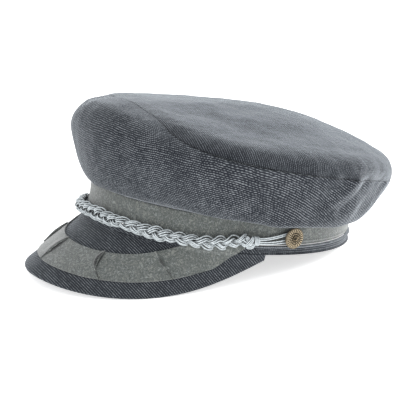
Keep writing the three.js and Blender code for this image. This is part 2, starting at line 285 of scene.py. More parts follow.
def gridNormals(places):
    upward = np.gradient(places, axis=0)
    ring = places[:, :-1]
    across = (np.roll(ring, -1, axis=1) - np.roll(ring, 1, axis=1)) / 2
    across = np.concatenate([across, across[:, :1]], axis=1)
    normals = np.cross(across, upward)
    length = np.linalg.norm(normals, axis=-1, keepdims=True)
    return normals / np.maximum(length, 1e-9)


def lengthsUp(places):
    steps = np.linalg.norm(np.diff(places, axis=0), axis=-1)
    return np.concatenate([np.zeros((1, places.shape[1])), np.cumsum(steps, axis=0)])


def newMaterial(name):
    material = bpy.data.materials.new(name)
    material.use_nodes = True
    tree = material.node_tree
    shader = next(node for node in tree.nodes if node.type == "BSDF_PRINCIPLED")
    return material, tree, shader


def addNode(tree, kind, inputs=None, **settings):
    node = tree.nodes.new("ShaderNode" + kind)
    for key, value in settings.items():
        setattr(node, key, value)
    for key, value in (inputs or {}).items():
        if isinstance(value, bpy.types.NodeSocket):
            tree.links.new(value, node.inputs[key])
        else:
            node.inputs[key].default_value = value
    return node


def calc(tree, operation, first, second=0.0, third=0.0):
    inputs = {0: first, 1: second}
    if operation == "MULTIPLY_ADD":
        inputs[2] = third
    return addNode(tree, "Math", inputs, operation=operation).outputs[0]


# How far a noise value stands above or below its middle, times `share`.
def swing(tree, value, share):
    return calc(tree, "MULTIPLY_ADD", value, share, -0.5 * share)


def addUp(tree, values):
    total = values[0]
    for value in values[1:]:
        total = calc(tree, "ADD", total, value)
    return total


def readRange(tree, value, fromLow, fromHigh, toLow=0.0, toHigh=1.0, kind="SMOOTHSTEP"):
    ends = {"Value": value, "From Min": fromLow, "From Max": fromHigh, "To Min": toLow, "To Max": toHigh}
    return addNode(tree, "MapRange", ends, interpolation_type=kind).outputs[0]


def mixColour(tree, share, first, second):
    first, second = ((*value, 1) if isinstance(value, tuple) else value for value in (first, second))
    return addNode(tree, "Mix", {0: share, 6: first, 7: second}, data_type="RGBA").outputs[2]


def objectNoise(tree, size, detail=3.0, rough=0.6, shift=0.0, bend=0.0):
    place = addNode(tree, "TexCoord").outputs["Object"]
    mapping = addNode(tree, "Mapping", {"Vector": place, "Location": (shift, -shift, shift)})
    node = addNode(tree, "TexNoise", {
        "Vector": mapping.outputs[0], "Scale": 1 / (size * mm), "Detail": detail, "Roughness": rough,
        "Distortion": bend,
    })
    return node.outputs[0]


# The UV map's two ways, along the cloth and across it.
def clothWays(tree):
    cloth = addNode(tree, "UVMap", uv_map="cloth").outputs[0]
    return addNode(tree, "SeparateXYZ", {0: cloth}).outputs


def readMark(tree, name):
    return addNode(tree, "Attribute", attribute_name=name).outputs["Fac"]


def setSockets(shader, sockets):
    for key, value in sockets.items():
        shader.inputs[key].default_value = value


# Joins a colour and a relief to the shader, and sets its own sockets.
def dress(tree, shader, colour, height, strength, depth, sockets):
    facts = {"Strength": strength, "Distance": depth * mm, "Height": height}
    relief = addNode(tree, "Bump", facts)
    tree.links.new(colour, shader.inputs["Base Color"])
    tree.links.new(relief.outputs[0], shader.inputs["Normal"])
    setSockets(shader, sockets)


# Cloth of dark ribs and pale weft specks; the UV map's first way runs along the ribs. The attribute
# "shade" mixes in painted shade: along the seam, at the hem under the crown's bulge, and just above the
# seam.
def ribbedCloth(name, facts):
    material, tree, shader = newMaterial(name)
    ways = clothWays(tree)
    wander = calc(tree, "MULTIPLY", objectNoise(tree, 9, 2.0), facts["wander"] * mm)
    across = calc(tree, "ADD", ways[1], wander)
    along = calc(tree, "ADD", ways[0], wander)
    ribCount = calc(tree, "DIVIDE", across, facts["rib"] * mm)
    ribWave = calc(tree, "COSINE", calc(tree, "MULTIPLY", ribCount, 2 * math.pi))
    rowNumber = calc(tree, "ROUND", ribCount)
    slubPlace = addNode(tree, "CombineXYZ", {
        0: calc(tree, "DIVIDE", along, facts["slub"] * mm), 1: calc(tree, "DIVIDE", rowNumber, 1.7),
    })
    slub = addNode(tree, "TexNoise", {
        "Vector": slubPlace.outputs[0], "Scale": 1.0, "Detail": 2.0, "Roughness": 0.7,
    }).outputs[0]
    # every second row's specks lie half a step on, and they drift along their rows
    phase = calc(tree, "MULTIPLY", along, 2 * math.pi / (facts["speck"] * mm))
    phase = calc(tree, "MULTIPLY_ADD", rowNumber, math.pi, phase)
    phase = calc(tree, "MULTIPLY_ADD", slub, facts["drift"], phase)
    fibre = objectNoise(tree, 0.9, 2.0, 0.7)
    weave = addUp(tree, [
        calc(tree, "MULTIPLY", ribWave, facts["ribShare"]),
        calc(tree, "MULTIPLY", calc(tree, "COSINE", phase), facts["speckShare"]),
        swing(tree, slub, facts["slubShare"]),
        swing(tree, fibre, facts["fibreShare"]),
        swing(tree, objectNoise(tree, 2.4, 3.0, 0.7, 0.31), facts["mottleShare"]),
        swing(tree, objectNoise(tree, 12, 3.0, 0.6, 0.77), facts["cloudShare"]),
    ])
    pale = readRange(tree, weave, facts["paleFrom"], facts["paleTo"])
    fade = readRange(tree, objectNoise(tree, 38, 4.0), 0.35, 0.7)
    dark = mixColour(tree, fade, facts["dark"], facts["darkFaded"])
    colour = mixColour(tree, pale, dark, facts["pale"])
    # painted shade where the shade attribute is high
    colour = mixColour(tree, readMark(tree, "shade"), colour, tuple(0.4 * value for value in facts["dark"]))
    crumple = calc(tree, "MULTIPLY", objectNoise(tree, 7, 3.0, 0.6, 0.15), facts["crumple"])
    height = addUp(tree, [weave, calc(tree, "MULTIPLY", fibre, 0.3), crumple])
    dress(tree, shader, colour, height, facts["relief"], 0.35, {
        "Roughness": 0.9, "Specular IOR Level": 0.2, "Sheen Weight": facts["sheen"],
        "Sheen Roughness": facts["sheenRough"], "Sheen Tint": (0.88, 0.94, 1.0, 1),
    })
    return material


# Curly fibres are thin bands where a noise passes its middle value.
def curls(tree, size, width, shift):
    value = objectNoise(tree, size, 1.5, 0.5, shift, 1.1)
    away = calc(tree, "ABSOLUTE", calc(tree, "ADD", value, -0.5))
    return readRange(tree, away, 0.0, width, 1.0, 0.0)


# Matt felt with pale curly fibres; an attribute paints shade on the inside of a pleat, towards a near-black
# colour.
def feltedWool(name, facts):
    material, tree, shader = newMaterial(name)
    fine = objectNoise(tree, 0.9, 4.0, 0.75)
    soft = objectNoise(tree, 5, 3.0)
    body = mixColour(tree, readRange(tree, fine, 0.34, 0.66), facts["dark"], facts["light"])
    body = mixColour(tree, readRange(tree, soft, 0.35, 0.7, 0.0, 0.35), body, facts["faded"])
    curl = calc(tree, "MAXIMUM", curls(tree, 4.6, 0.042, 0.0), curls(tree, 3.4, 0.048, 0.27))
    broken = readRange(tree, objectNoise(tree, 1.5, 2.0, 0.6, 0.53), 0.42, 0.56, 0.1, 1.0)
    curl = calc(tree, "MULTIPLY", curl, broken)
    tint = mixColour(tree, readRange(tree, soft, 0.42, 0.58), facts["coolFibre"], facts["warmFibre"])
    colour = mixColour(tree, calc(tree, "MULTIPLY", curl, facts["fibreShare"]), body, tint)
    # painted shade inside the pleats
    pleatShade = readRange(tree, readMark(tree, "pleatShade"), 0.1, 1.0, 0.0, 0.92)
    colour = mixColour(tree, pleatShade, colour, facts["pleatShadeColour"])
    height = calc(tree, "MULTIPLY_ADD", fine, 0.6, calc(tree, "MULTIPLY", curl, 0.6))
    dress(tree, shader, colour, height, 0.6, 0.3, {
        "Roughness": 0.95, "Specular IOR Level": 0.15, "Sheen Weight": facts["sheen"],
        "Sheen Roughness": 0.5,
    })
    return material


# Smooth twisted cord with painted shade on its sides, between neighbouring cords, where its shade mask
# attribute is low.
def twistedCord(name, facts):
    material, tree, shader = newMaterial(name)
    ways = clothWays(tree)
    along = calc(tree, "MULTIPLY", ways[0], 2 * math.pi / (facts["lay"] * mm))
    ply = calc(tree, "SINE", calc(tree, "MULTIPLY_ADD", ways[1], 4 * math.pi, along))
    light = calc(tree, "MULTIPLY_ADD", ply, facts["plyShare"], objectNoise(tree, 0.7, 2.0, 0.7))
    body = mixColour(tree, readRange(tree, light, 0.3, 0.7), facts["dull"], facts["light"])
    crest = readRange(tree, readMark(tree, "crest"), facts["crestFrom"], facts["crestTo"])
    colour = mixColour(tree, crest, facts["dark"], body)
    dress(tree, shader, colour, light, 0.3, 0.15, {"Roughness": 0.45, "Sheen Weight": 0.15})
    return material


# Old brass: dark in the hollows and bright where it is rubbed, by the attribute "rubbed".
def agedBrass(name, facts):
    material, tree, shader = newMaterial(name)
    grime = objectNoise(tree, 1.1, 4.0, 0.7)
    wear = calc(tree, "MULTIPLY_ADD", grime, 0.7, calc(tree, "ADD", readMark(tree, "rubbed"), -0.35))
    colour = mixColour(tree, readRange(tree, wear, -0.05, 0.85), facts["patina"], facts["bright"])
    rough = readRange(tree, wear, 0.2, 0.9, 0.7, 0.38, "LINEAR")
    tree.links.new(rough, shader.inputs["Roughness"])
    dress(tree, shader, colour, grime, 0.4, 0.12, {"Metallic": 0.6})
    return material


crownCloth = {
    "rib": 1.55, "speck": 1.4, "slub": 3.0, "drift": 10.0, "wander": 2.0,
    "ribShare": 0.5, "speckShare": 0.2, "slubShare": 0.85, "fibreShare": 0.8, "mottleShare": 0.6,
    "cloudShare": 0.6, "paleFrom": 0.07, "paleTo": 0.78, "relief": 0.6, "crumple": 2.0,
    "sheen": 0.65, "sheenRough": 0.28,
    "dark": (0.015, 0.018, 0.024), "darkFaded": (0.022, 0.026, 0.032), "pale": (0.212, 0.228, 0.246),
}
sideDenim = ribbedCloth("sideDenim", crownCloth)
# The top panel is the same denim with a darker pale colour, as painted shade, and a stronger sheen, both
# set to match how light falls on the top.
topDenimPaintedShade = ribbedCloth("topDenimPaintedShade", crownCloth | {
    "paleFrom": 0.1, "paleTo": 0.82, "cloudShare": 0.7, "crumple": 3.4, "sheen": 0.85, "sheenRough": 0.27,
    "ribShare": 0.6, "pale": (0.2, 0.219, 0.243),
})
peakDenim = ribbedCloth("peakDenim", {
    "rib": 1.6, "speck": 1.6, "slub": 4.5, "drift": 5.0, "wander": 0.6,
    "ribShare": 0.62, "speckShare": 0.14, "slubShare": 0.8, "fibreShare": 0.6, "mottleShare": 0.5,
    "cloudShare": 0.35, "paleFrom": 0.1, "paleTo": 1.05, "relief": 0.6, "crumple": 0.6,
    "sheen": 0.5, "sheenRough": 0.35,
    "dark": (0.016, 0.019, 0.024), "darkFaded": (0.022, 0.026, 0.032), "pale": (0.222, 0.24, 0.256),
})
greyWool = feltedWool("greyWool", {
    "dark": (0.055, 0.063, 0.06), "light": (0.132, 0.145, 0.138), "faded": (0.106, 0.115, 0.108),
    "coolFibre": (0.28, 0.302, 0.297), "warmFibre": (0.29, 0.3, 0.276), "fibreShare": 0.66,
    "pleatShadeColour": (0.008, 0.009, 0.009), "sheen": 0.7,
})
# its dark colour is the painted shade between the cords
silverCord = twistedCord("silverCord", {
    "lay": 3.4, "plyShare": 0.1, "dark": (0.012, 0.014, 0.016), "dull": (0.39, 0.44, 0.46),
    "light": (0.65, 0.7, 0.72), "crestFrom": 0.3, "crestTo": 0.94,
})
agedBrassFinish = agedBrass("agedBrassFinish", {
    "patina": (0.03, 0.024, 0.015), "bright": (0.55, 0.455, 0.315),
})

print("crown")
crown = {
    "columns": 400, "sideRows": 72, "topRows": 66, "wall": 1.9, "hemDrop": 0.24, "flatLength": 640,
    "seamDepth": 0.16, "seamWidth": 0.9, "pucker": 0.45, "gather": 0.3, "slack": 0.85, "rightFolds": 0.7,
    "shoulder": 1.6, "shoulderAt": 12, "shoulderWide": 13, "grainTurn": 32, "grainFrom": 52, "grainTo": 100,
    "hemShade": 0.95, "hemShadeWide": 3.2, "topShade": 0.5, "topShadeWide": 19,
    "sideSeamShade": 0.6, "topSeamShade": 0.4, "seamShadeWide": 0.7,
}
crownMiddle = (0, 14)
# Folds and dimples of the soft cloth on the wearer's left: where each starts and ends, its width and
# its height. Weaker ones mirror them on the right.
folds = [
    ((95.5, 49, 59), (100.5, 28, 41), 3.4, 1.7),
    ((99.5, 38, 59), (103, 18, 44), 5.0, -1.0),
    ((90, 62, 57), (97, 42, 38), 4.4, -1.8),
    ((84, 73, 53), (90, 56, 36), 5.0, 0.6),
    ((76, 85, 50), (80, 76, 42), 4.2, -0.4),
    ((68, 95, 48), (70, 86, 36), 5.0, 0.6),
    ((103, 21, 64), (104, 18, 61), 4.0, -0.8),
    ((99.5, 39, 61), (99, 41, 58), 3.4, -0.9),
    ((96, 50, 61), (95, 52, 60), 2.6, 0.6),
    ((71, 94, 52), (76, 88, 52.5), 1.9, -1.2),
    ((41, -92, 84), (56, -104, 61), 5.0, 0.8),
    ((33, -103, 80), (45, -110, 62), 6.0, -0.8),
    ((100.5, 10, 73), (103.5, 10, 62), 2.6, 0.5),
    ((64, 74, 75), (50, 92, 72), 8.0, 0.9),
    ((80, 50, 76), (60, 86, 68), 5.0, -0.7),
    ((12, -116, 46), (40, -108, 40), 7.0, 0.5),
]


def awayFrom(places, start, end):
    run = end - start
    share = np.clip(((places - start) @ run) / (run @ run), 0, 1)
    return np.linalg.norm(places - (start + share[..., None] * run), axis=-1)


def foldLift(places):
    lift = np.zeros(places.shape[:-1])
    for side, strength in ((1, 1.0), (-1, crown["rightFolds"])):
        for start, end, wide, high in folds:
            start, end = (np.array(place, float) * (side, 1, 1) for place in (start, end))
            lift += strength * high * bump(awayFrom(places, start, end), wide)
    return lift


def turnOf(places):
    return np.degrees(np.arctan2(np.abs(places[..., 0]), -places[..., 1]))


def seamShape(fromSeam, places, seed):
    rear = 0.3 + 0.9 * bump(turnOf(places) - 125, 32)
    groove = -crown["seamDepth"] * bump(fromSeam, crown["seamWidth"])
    pucker = crown["pucker"] * rear * roughness(places, 4.6, seed) * np.exp(-fromSeam / 6)
    return groove + pucker


def clothSlack(places):
    broad = crown["slack"] * 1.3 * roughness(places, 34, 3.7)
    return broad + crown["slack"] * 0.45 * roughness(places, 12, 8.1)


# The cloth stands fuller just above the seam at the sides, so the shoulder is round.
def shoulderLift(pastSeam, places):
    turn = turnOf(places)
    side = np.clip((turn - 18) / 35, 0, 1) * (1 - 0.5 * np.clip((turn - 125) / 40, 0, 1))
    return crown["shoulder"] * side * bump(pastSeam - crown["shoulderAt"], crown["shoulderWide"])


# The side panel laid flat: level ribs in front that slope down towards the back.
def sideCloth(fromHem):
    turns = np.linspace(-180, 180, fromHem.shape[1])
    share = np.clip((np.abs(turns) - crown["grainFrom"]) / (crown["grainTo"] - crown["grainFrom"]), 0, 1)
    angle = np.radians(crown["grainTurn"]) * share * share * (3 - 2 * share) * np.sign(turns)
    step = crown["flatLength"] / crown["columns"]
    x, y = np.cumsum(np.cos(angle)) * step, np.cumsum(np.sin(angle)) * step
    return np.stack([x - fromHem * np.sin(angle), y + fromHem * np.cos(angle)], axis=-1)


def makeCrownSide():
    places = smoothRings(outerRings("crown_side", (0, 0)), crown["sideRows"], crown["columns"])
    # the columns start at the back, where the panel's ends meet
    places = np.roll(places[:, :-1], crown["columns"] // 2, axis=1)
    places = np.concatenate([places, places[:, :1]], axis=1)
    fromHem = lengthsUp(places)
    fromSeam = fromHem[-1] - fromHem
    lift = clothSlack(places) + foldLift(places) + shoulderLift(-fromSeam, places)
    lift += crown["gather"] * roughness(places * (1, 1, 0.25), 6, 5.2) * np.exp(-fromHem / 9)
    lift = seamShape(fromSeam, places, 1.3) + lift * np.minimum(fromHem / 7, 1)
    places = places + gridNormals(places) * lift[..., None]
    places[0, :, 2] -= crown["hemDrop"]
    # painted shade at the hem, under the crown's overhang, and along the seam
    shade = crown["hemShade"] * bump(fromHem, crown["hemShadeWide"])
    shade += crown["sideSeamShade"] * bump(fromSeam, crown["seamShadeWide"])
    obj = clothGrid("crownSide", places, sideCloth(fromHem), marks=("shade", shade))
    giveWall(obj, crown["wall"])
    finishPiece(obj, sideDenim, "crown_side")


def makeCrownTop():
    places = smoothRings(outerRings("crown_top", crownMiddle), crown["topRows"], crown["columns"])
    places[:, -1] = places[:, 0]
    places[-1] = places[-1, 0]
    fromSeam = lengthsUp(places)
    fromPole = fromSeam[-1] - fromSeam
    lift = seamShape(fromSeam, places, 4.1) + clothSlack(places) + foldLift(places)
    lift += shoulderLift(fromSeam, places)
    normals = gridNormals(places)
    normals[-1] = (0, 0, 1)
    lift[-1] = lift[-1].mean()
    places = places + normals * lift[..., None]
    away = places[..., :2] - places[-1, 0, :2]
    away = away / np.maximum(np.linalg.norm(away, axis=-1, keepdims=True), 1e-6)
    # painted shade on the top panel just above the seam, and along the seam
    shade = crown["topShade"] * bump(fromSeam, crown["topShadeWide"])
    shade += crown["topSeamShade"] * bump(fromSeam, crown["seamShadeWide"])
    obj = clothGrid("crownTop", places, away * fromPole[..., None], marks=("shade", shade))
    giveWall(obj, crown["wall"])
    finishPiece(obj, topDenimPaintedShade, "crown_top")


makeCrownSide()
makeCrownTop()

print("band and edge strip")
head = {"length": 206, "width": 164, "columns": 264}
strip = {"height": 7, "proud": 0.6, "wall": 2.2, "gap": 0.3, "flatLength": 588}
felt = {"wall": 2.5, "frontTop": 27.04, "rearTop": 21.64, "welt": 9.6, "flatLength": 585}
headTurns = np.linspace(0, 360, head["columns"] + 1)
mmPerDegree = math.pi * head["width"] / 360


def bandPlace(turn, out, height):
    angle = np.radians(turn)
    x = (head["width"] / 2 + out) * np.sin(angle)
    y = -(head["length"] / 2 + out) * np.cos(angle)
    return np.stack(np.broadcast_arrays(x, y, height), axis=-1)


def bandOut(turn):
    angle = np.radians(turn)
    x, y = np.sin(angle) / head["width"], -np.cos(angle) / head["length"]
    out = np.stack(np.broadcast_arrays(x, y, 0), axis=-1)
    return out / np.linalg.norm(out, axis=-1, keepdims=True)


def closeRound(rows):
    places = np.array(rows)
    places[:, -1] = places[:, 0]
    return places


# A cloth band round the head, moved outwards by its waves.
def makeHeadband(name, places, waves, facts, material, node):
    places = places + bandOut(headTurns)[None] * waves[..., None]
    up = lengthsUp(places)
    cloth = np.stack([np.broadcast_to(headTurns / 360 * facts["flatLength"], up.shape), up], axis=-1)
    obj = clothGrid(name, places, cloth)
    giveWall(obj, facts["wall"])
    finishPiece(obj, material, node)


def makeBand():
    top = lerp(felt["rearTop"], felt["frontTop"], (1 + np.cos(np.radians(headTurns))) / 2)
    low = strip["height"] + strip["gap"]
    rows = []
    for share in np.concatenate([np.linspace(0, 0.18, 12), np.linspace(0.2, 1, 26)]):
        height = lerp(low, top, share)
        welt = 0.6 * bump(height - felt["welt"] - 0.4, 0.6) - 0.5 * bump(height - felt["welt"] + 1.0, 0.5)
        edge = -0.5 * bump(height - low, 0.6) - 0.35 * bump(top - height, 0.7)
        rows.append(bandPlace(headTurns, welt + edge, height))
    places = closeRound(rows)
    waves = 0.22 * roughness(places * (1, 1, 0.6), 16, 2.2) + 0.1 * roughness(places, 4, 6.0)
    makeHeadband("feltBand", places, waves, felt, greyWool, "band")


def makeEdgeStrip():
    rows = []
    # rounded lower and upper folds joined by a nearly flat face
    for angle in np.radians(np.linspace(-100, 100, 15)):
        share = math.sin(angle)
        out = strip["proud"] + 0.25 * math.cos(angle) - 0.9 * abs(share) ** 5
        rows.append(bandPlace(headTurns, out, strip["height"] / 2 * (1 + share * 0.985)))
    places = closeRound(rows)
    waves = 0.12 * roughness(places, 11, 7.7)
    makeHeadband("edgeStrip", places, waves, strip, peakDenim, "edge_strip")


makeBand()
makeEdgeStrip()

print("peak")
peak = {
    "frontWidth": 58.5, "frontGain": 1.6, "gainTurns": 36, "cornerWidth": 4.4, "taper": 1.5,
    "frontSlope": 38.5, "cornerSlope": 94, "slopeGain": 1.4, "cornerTurn": 86.5, "wall": 2.2,
    "columns": 240, "rows": 34, "edgeOut": 1.5, "edgeRise": 7.2, "edgeTaper": 7,
}
trim = {
    "setBack": 22, "innerTurn": 49, "outerTurn": 77.4, "frontRim": 12.8, "sideRim": 11.6, "bendTurn": 65,
    "rimGain": 0.62, "wall": 1.1, "tuckHeight": 2.2, "tuckLength": 8, "overlap": 1.5, "columns": 420,
    "rows": 36,
}
# A pleat lies at each turn and opens in the middle of the trim; lean -1 folds it towards the larger
# turns. It shifts by slant degrees across the trim, bows, and closes at the share in reach.
tucks = [
    {"turn": -45, "lean": 1, "high": 0.7, "slant": 0, "bow": 0, "reach": 0.8, "skew": 1.0},
    {"turn": -22, "lean": -1, "high": 0.8, "slant": 0, "bow": 0, "reach": 0.9, "skew": 1.0},
    {"turn": -1, "lean": -1, "high": 1.1, "slant": 0, "bow": -0.6, "reach": 0.9, "skew": 1.0},
    {"turn": 20.5, "lean": -1, "high": 0.9, "slant": 4, "bow": -2.2, "reach": 0.72, "skew": 0.9},
    {"turn": 41, "lean": -1, "high": 0.5, "slant": 9, "bow": 0, "reach": 0.66, "skew": 1.5},
]


def peakWidth(turn):
    share = np.minimum(np.abs(turn) / peak["cornerTurn"], 1)
    width = peak["cornerWidth"] + (peak["frontWidth"] - peak["cornerWidth"]) * (1 - share ** peak["taper"])
    return width + peak["frontGain"] * bump(turn, peak["gainTurns"])


def peakSlope(turn):
    share = np.minimum(np.abs(turn) / peak["cornerTurn"], 1)
    return np.radians(lerp(peak["frontSlope"], peak["cornerSlope"], share ** peak["slopeGain"]))


# How far the peak's upright edge stands up in front of the edge strip.
def edgeRise(turn):
    return peak["edgeRise"] * np.clip((peak["cornerTurn"] - np.abs(turn)) / peak["edgeTaper"], 0, 1)


# Distances run down the peak from its bend; below 0 they climb its upright edge.
def peakPlace(turn, distance, lift):
    slope = peakSlope(turn)
    upright = np.clip(0.5 - distance / 3, 0, 1)
    tilt = lerp(slope, math.pi / 2, upright)
    run, climb = np.maximum(distance, 0), np.maximum(-distance, 0)
    out = run * np.cos(slope) + peak["edgeOut"] * upright + lift * np.sin(tilt)
    height = climb - strip["gap"] - run * np.sin(slope) + lift * np.cos(tilt)
    place = bandPlace(turn, 0.0, height)
    return place + bandOut(turn) * out[..., None]


# The peak's cloth laid flat: its band edge opens out as the slope grows, and the ribs stay straight.
def makePattern():
    turns = np.linspace(-90, 90, 721)
    angle = np.radians(turns)
    steps = np.stack([head["width"] / 2 * np.cos(angle), head["length"] / 2 * np.sin(angle)], axis=-1)
    heading = np.unwrap(np.arctan2(steps[:, 1], steps[:, 0]))
    turned = np.concatenate([[0], np.cumsum(np.diff(heading) * np.cos(peakSlope(turns[1:])))])
    turned -= np.interp(0, turns, turned)
    length = np.linalg.norm(steps, axis=-1) * math.radians(0.25)
    x, y = np.cumsum(np.cos(turned) * length), np.cumsum(np.sin(turned) * length)
    return turns, turned, x - np.interp(0, turns, x), y


pattern = makePattern()


def patternCloth(turn, distance):
    turned, x, y = (np.interp(turn, pattern[0], row) for row in pattern[1:])
    return np.stack([x + distance * np.sin(turned), y - distance * np.cos(turned)], axis=-1)


def makePeak():
    turns = np.linspace(-peak["cornerTurn"], peak["cornerTurn"], peak["columns"] + 1)
    half = peak["wall"] / 2
    width, rise = peakWidth(turns) - half, edgeRise(turns)
    rows = []
    # up behind the upright edge, over it, down the upper face, round the rim and back underneath
    for share in (0.1, 0.5, 0.96):
        rows.append((-rise * share, -0.45))
    for share in (1, 0.96, 0.75, 0.5, 0.25):
        rows.append((-rise * share, 0.0 if share < 1 else -0.2))
    for share in np.linspace(0, 1, peak["rows"]) ** 1.1:
        rows.append((width * share, 0.0))
    for angle in np.radians(np.linspace(90, -90, 9)[1:-1]):
        rows.append((width + half * math.cos(angle), half * (math.sin(angle) - 1)))
    for share in np.linspace(1, 0.02, 12):
        rows.append((width * share, -peak["wall"]))
    rows.append(rows[0])
    places = np.array([peakPlace(turns, distance, lift + 0 * turns) for distance, lift in rows])
    cloth = np.array([patternCloth(turns, distance) for distance, lift in rows])
    obj = clothGrid("peakShell", places, cloth, centre=(0, -90, -60))
    onWhole(obj, bpy.ops.mesh.fill_holes, sides=0)
    onWhole(obj, bpy.ops.mesh.normals_make_consistent, inside=False)
    finishPiece(obj, peakDenim, "peak", angle=50)


makePeak()


def trimEdges(turn):
    size = np.abs(turn)
    rim = lerp(trim["frontRim"], trim["sideRim"], np.minimum(size / trim["bendTurn"], 1))
    rim = rim + trim["rimGain"] * np.maximum(size - trim["bendTurn"], 0)
    outer = peakWidth(turn) - rim
    inner = trim["setBack"] * (1 - (turn / trim["innerTurn"]) ** 2)
    inner = np.maximum(inner, 0.4 - edgeRise(turn))
    return np.minimum(inner, outer - trim["wall"]), outer


# A pleat's folded lip from its top to the trim beside it: how far over, how high and how much painted shade
# it takes.
tuckLip = [
    (-0.3, 0.93, 0), (-0.7, 1.0, 0), (-1.0, 0.97, 0), (-1.15, 0.88, 0), (-1.1, 0.77, 0.3),
    (-0.8, 0.72, 0.9), (-0.2, 0.68, 1), (0.5, 0.62, 1), (1.0, 0.5, 1), (1.1, 0.3, 1), (0.9, 0.1, 1),
    (0.4, 0.0, 1), (-0.3, 0.0, 1), (-0.9, 0.0, 0.9), (-1.5, 0.0, 0.35), (-2.2, 0.0, 0),
]


# Along the trim: each column has a turn, how far it is moved over, its height, its painted shade and its
# pleat.
def trimColumns():
    turns = np.linspace(-trim["outerTurn"], trim["outerTurn"], trim["columns"] + 1)
    columns = [(turn, 0.0, 0.0, 0.0, None) for turn in turns]
    reach = trim["tuckLength"] / mmPerDegree
    for tuck in tucks:
        lean = tuck["lean"]
        low, high = sorted((tuck["turn"] - 2.2 * lean, tuck["turn"] + reach * lean))
        columns = [column for column in columns if not low <= column[0] <= high]
        steps = [(tuck["turn"] + lean * reach * share, 0.0, (1 - share) ** 1.4 * 0.88, 0.0, tuck)
                 for share in np.linspace(1, 0, 16)]
        steps += [(tuck["turn"], -lean * over, height, dark, tuck) for over, height, dark in tuckLip]
        if lean > 0:
            steps.reverse()
        columns += steps
        columns.sort(key=lambda column: column[0])
    return columns


def tuckOpening(tuck, across):
    if not tuck:
        return 0.0
    share = min(across / tuck["reach"], 1.0)
    return tuck["high"] * (0.14 * (1 - share) + 0.86 * math.sin(math.pi * share ** tuck["skew"]))


def makeTrim():
    columns = trimColumns()
    turn, over, high, dark = (np.array([column[k] for column in columns]) for k in range(4))
    rows, clothRows, pleatShadeRows = [], [], []
    for across in np.linspace(0, 1, trim["rows"] + 1):
        opening = np.array([tuckOpening(column[4], across) for column in columns])
        shifted = turn.copy()
        for tuck in tucks:
            shift = tuck["slant"] * across + tuck["bow"] * 4 * across * (1 - across)
            shifted += shift * bump(turn - tuck["turn"], 10)
        moved = shifted - over * trim["overlap"] * np.maximum(opening, 0.015) / mmPerDegree * 0.8
        inner, outer = trimEdges(moved)
        lift = strip["gap"] + trim["wall"] + trim["tuckHeight"] * high * opening
        distance = lerp(inner, outer, across)
        place = peakPlace(moved, distance, lift)
        place[..., 2] += 0.2 * roughness(place, 13, 4.4)
        rows.append(place)
        clothRows.append(patternCloth(moved, distance))
        # painted shade inside each pleat, where it opens
        pleatShadeRows.append(dark * np.minimum(opening * 1.6, 1))
    marks = ("pleatShade", np.array(pleatShadeRows))
    obj = clothGrid("peakTrim", np.array(rows), np.array(clothRows), (0, -90, -60), marks)
    giveWall(obj, trim["wall"] * 0.9)
    finishPiece(obj, greyWool, "peak_trim")


makeTrim()

print("plaited cord")
plait = {
    "strandWidth": 2.7, "standOff": 2.3, "sway": 2.75, "lift": 2.4, "pitch": 26, "height": 9.5, "slack": 2,
    "cordWidth": 1.25, "cordGap": 1.42, "cords": 3, "roll": 34, "spread": 0.14, "loose": 1.0,
    "endTurn": 76.5, "stepsPerPitch": 36, "sides": 12,
}
# At every 20 degrees from -80 to 80: how high the plait runs, and how far it hangs off the band.
plaitRoute = {
    "high": (1.02, 0.60, 0.20, 0.50, 0.90, 0.98, 0.82, 0.74, 1.2),
    "loose": (0, 0.3, 0.9, 0.9, 0.4, 0.1, 0, 0, 0),
}
plaitOut = strip["proud"] + strip["gap"] + plait["standOff"] + plait["strandWidth"] / 2


def routeValue(key, turn):
    values = plaitRoute[key]
    along = min(max((turn + 80) / 20, 0), len(values) - 1.001)
    index = int(along)
    share = along - index
    return lerp(values[index], values[index + 1], share * share * (3 - 2 * share))


def plaitPlace(turn, out=0.0, up=0.0):
    middle = plaitOut + plait["slack"] * routeValue("loose", turn)
    return Vector(bandPlace(turn, middle + out, plait["height"] * routeValue("high", turn) + up))


plaitLine = [plaitPlace(lerp(-plait["endTurn"], plait["endTurn"], i / 60)) for i in range(61)]
plaitLength = sum((b - a).length for a, b in zip(plaitLine, plaitLine[1:]))
plaitTurns = round(plaitLength / plait["pitch"])


